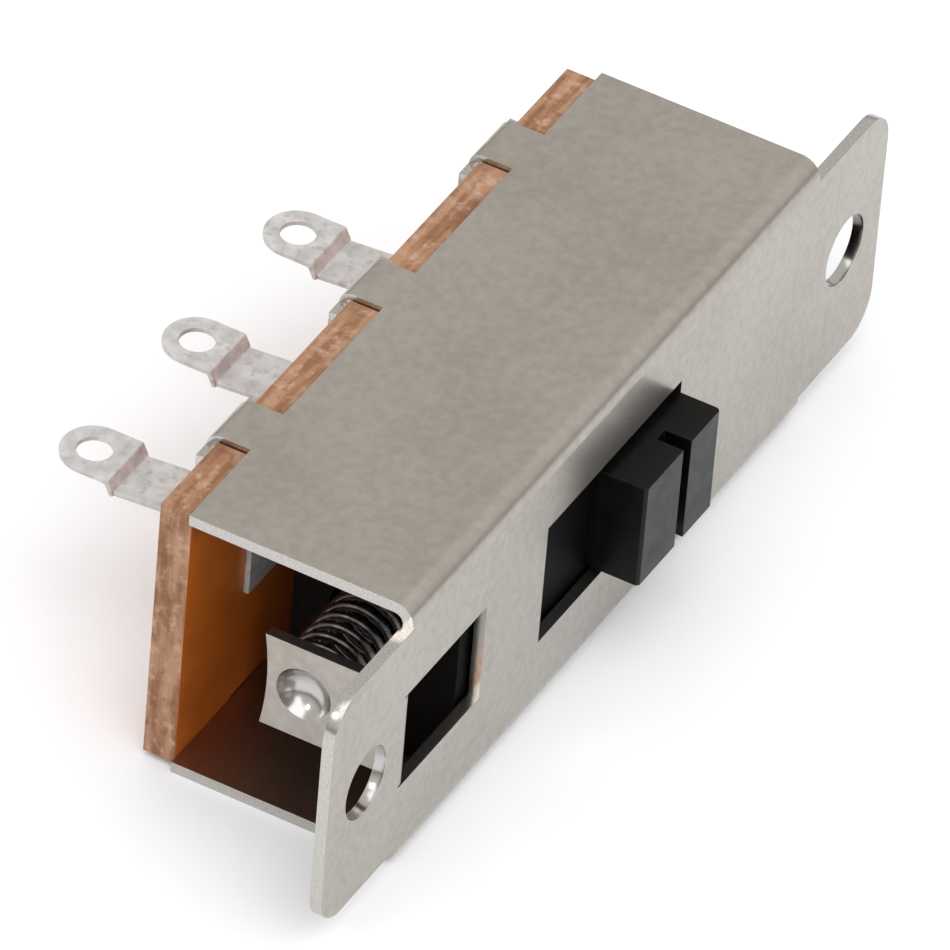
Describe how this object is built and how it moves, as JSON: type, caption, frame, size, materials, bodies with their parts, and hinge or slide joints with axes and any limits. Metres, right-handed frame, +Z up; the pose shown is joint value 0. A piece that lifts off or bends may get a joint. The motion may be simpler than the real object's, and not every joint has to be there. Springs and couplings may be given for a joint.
{
  "type": "microphone slide switch",
  "caption": "Open-frame slide switch: folded steel channel with mounting ears, spring-return slider knob, laminate terminal board and solder lugs.",
  "frame": {"origin": "midpoint between the two mounting holes, on the front face of the plate", "axes": "+X along the plate, from the spring seat to the knob's rest end; +Y from the plate towards the terminals; +Z up"},
  "size_m": [0.044, 0.0218, 0.013],
  "materials": {
    "frame_steel": "satin plated steel",
    "board_laminate": "brown phenolic laminate, satin faces and sawn edges",
    "terminal_tin": "dull tin plate",
    "slider_black": "black moulding, satin",
    "contact_brass": "bright",
    "spring_steel": "drawn wire"
  },
  "bodies": {
    "frame_body": {"frame": "frame_steel", "terminal_board": "board_laminate", "terminal_left": "terminal_tin", "terminal_centre": "terminal_tin", "terminal_right": "terminal_tin", "return_spring": "spring_steel"},
    "slider_body": {"slider": "slider_black", "bridge_contact": "contact_brass", "contact_spring_left": "spring_steel", "contact_spring_right": "spring_steel"}
  },
  "joints": [
    {"name": "knob_slide", "type": "slide", "parent": "frame_body", "child": "slider_body", "axis": [1, 0, 0], "range_m": [-0.0044, 0], "stiffness_N_per_m": 200, "springref_m": 0.004, "deforming": ["return_spring"]}
  ]
}
